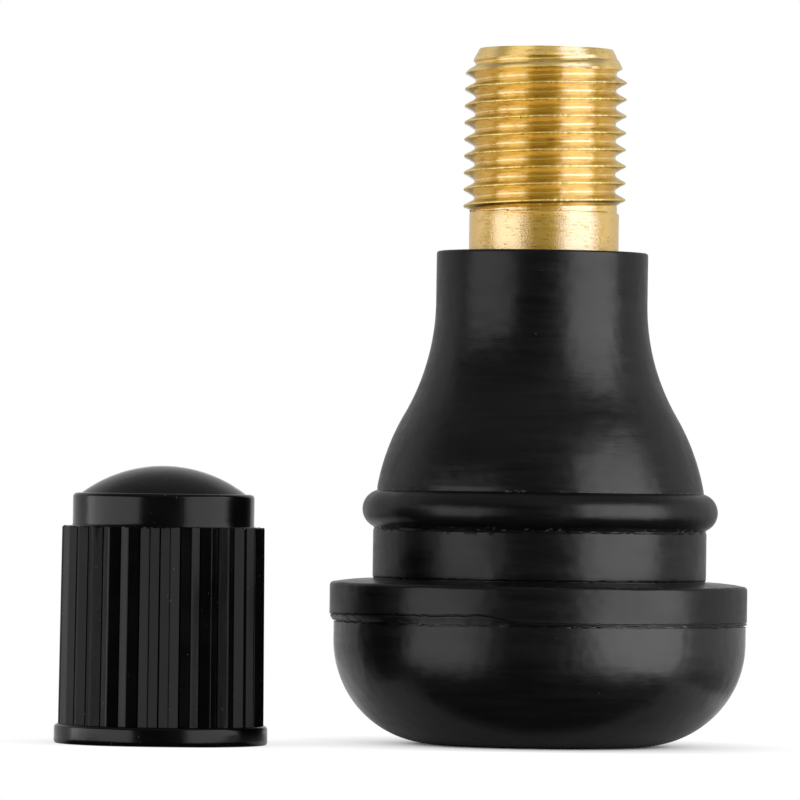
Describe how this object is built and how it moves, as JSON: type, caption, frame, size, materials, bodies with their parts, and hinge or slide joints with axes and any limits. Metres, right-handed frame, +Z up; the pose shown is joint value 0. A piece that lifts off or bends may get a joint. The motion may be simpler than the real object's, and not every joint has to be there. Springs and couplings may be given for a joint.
{
  "type": "tyre valve",
  "caption": "Snap-in tyre valve: a threaded brass stem with a screw-in core, moulded into a rubber body with a rim groove, and its ribbed dust cap standing beside it.",
  "frame": {"origin": "middle of the rubber base's flat underside, on the stem's axis", "axes": "+Z up along the stem towards its mouth; +X to the right and +Y away in the picture, so the dust cap stands at -X and a little towards -Y"},
  "size_m": [0.0326, 0.0199, 0.033],
  "materials": {
    "body_rubber": "satin moulded rubber",
    "stem_brass": "bright turned",
    "core_brass": "bright turned",
    "cap_plastic": "moulded, half gloss",
    "seal_rubber": "matt",
    "spring_steel": "drawn wire"
  },
  "bodies": {
    "valve": {"rubber_body": "body_rubber", "brass_stem": "stem_brass", "dust_cap": "cap_plastic", "cap_seal": "seal_rubber"},
    "core": {"core_barrel": "core_brass", "core_gasket": "seal_rubber", "core_spring": "spring_steel"},
    "plug": {"core_plug": "core_brass"},
    "pin": {"core_pin": "core_brass", "pin_cup": "core_brass", "cup_seal": "seal_rubber"}
  },
  "joints": [
    {"name": "core_travel", "type": "slide", "parent": "valve", "child": "core", "axis": [0, 0, 1], "range_m": [0, 0.0067]},
    {"name": "core_turn", "type": "hinge", "parent": "core", "child": "plug", "pos_m": [0, 0, 0.028], "axis": [0, 0, 1], "range_deg": [0, 3420]},
    {"name": "pin_press", "type": "slide", "parent": "core", "child": "pin", "axis": [0, 0, -1], "range_m": [0, 0.0018], "stiffness_N_per_m": 900, "springref_m": -0.002, "deforming": ["core_spring"]}
  ],
  "couplings": [
    {"joint": "core_turn", "follows": "core_travel", "rad_per_m": 8905.3}
  ]
}
